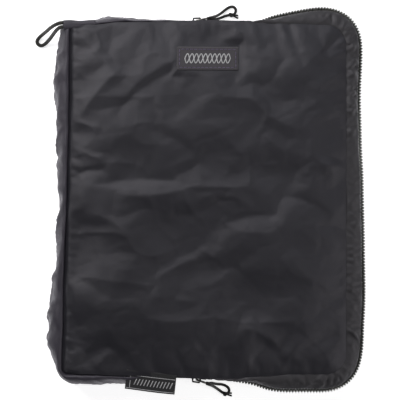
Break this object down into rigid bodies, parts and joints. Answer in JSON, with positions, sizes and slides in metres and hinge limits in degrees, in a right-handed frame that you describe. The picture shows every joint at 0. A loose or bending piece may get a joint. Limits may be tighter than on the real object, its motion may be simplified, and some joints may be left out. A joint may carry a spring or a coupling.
{
  "type": "zippered storage pouch",
  "caption": "Flat nylon pouch with a zip round three sides, a cover that folds open, two cord-pull sliders, a hanging loop and sewn labels.",
  "frame": {"origin": "middle of the back panel's resting face", "axes": "+Y to the top edge with the hanging loop, +X to the zip side, +Z out of the front panel"},
  "size_m": [0.1907, 0.2305, 0.0245],
  "materials": {
    "shell_nylon": "thin shiny charcoal ripstop-free nylon, finely woven, creased",
    "gusset_nylon": "the same nylon, paler where it is folded",
    "zip_tape": "woven olive-grey zip tape",
    "zip_coil": "black nylon coil",
    "seam_binding": "folded black binding tape",
    "front_label_weave": "purple-grey woven label with a stitched border",
    "seam_label_weave": "black woven label with pale rules",
    "loop_cord": "black round braided cord",
    "pull_cord": "thin black round braided cord",
    "slider_enamel": "zinc casting with dark enamel"
  },
  "bodies": {
    "root": {"back_panel": "shell_nylon", "front_panel": "shell_nylon", "spine_gusset": "gusset_nylon", "top_gusset": "gusset_nylon", "bottom_gusset": "gusset_nylon", "back_zip_strip": "gusset_nylon", "back_zip_tape": "zip_tape", "back_zip_coil": "zip_coil", "top_zip_end": "zip_tape", "bottom_zip_end": "zip_tape", "top_end_stop": "zip_coil", "bottom_end_stop": "zip_coil", "back_seam_binding": "seam_binding", "front_seam_binding": "seam_binding", "seam_label": "seam_label_weave", "loop_sleeve": "gusset_nylon", "hanging_loop": "loop_cord"},
    "cover": {"front_flap": "shell_nylon", "front_zip_strip": "gusset_nylon", "front_zip_tape": "zip_tape", "front_zip_coil": "zip_coil", "flap_seam_binding": "seam_binding", "front_label": "front_label_weave"},
    "top_slider": {"top_slider": "slider_enamel"},
    "bottom_slider": {"bottom_slider": "slider_enamel"},
    "top_pull": {"top_pull_tab": "slider_enamel", "top_pull_cord": "pull_cord", "top_pull_knot": "pull_cord"},
    "bottom_pull": {"bottom_pull_tab": "slider_enamel", "bottom_pull_cord": "pull_cord", "bottom_pull_knot": "pull_cord"}
  },
  "joints": [
    {"name": "cover_fold", "type": "hinge", "parent": "root", "child": "cover", "pos_m": [-0.021, 0, 0.025], "axis": [0, -1, 0], "range_deg": [0, 60]},
    {"name": "top_zip_run", "type": "slide", "parent": "root", "child": "top_slider", "axis": [0.999, 0.0436, 0], "range_m": [0, 0.024]},
    {"name": "bottom_zip_run", "type": "slide", "parent": "root", "child": "bottom_slider", "axis": [0.9866, -0.1633, 0], "range_m": [0, 0.024]},
    {"name": "top_pull_swing", "type": "hinge", "parent": "top_slider", "child": "top_pull", "pos_m": [-0.00531, 0.10424, 0.012], "axis": [0, 0, 1], "range_deg": [0, 130]},
    {"name": "bottom_pull_swing", "type": "hinge", "parent": "bottom_slider", "child": "bottom_pull", "pos_m": [-0.00566, -0.10503, 0.012], "axis": [0, 0, -1], "range_deg": [0, 130]}
  ]
}
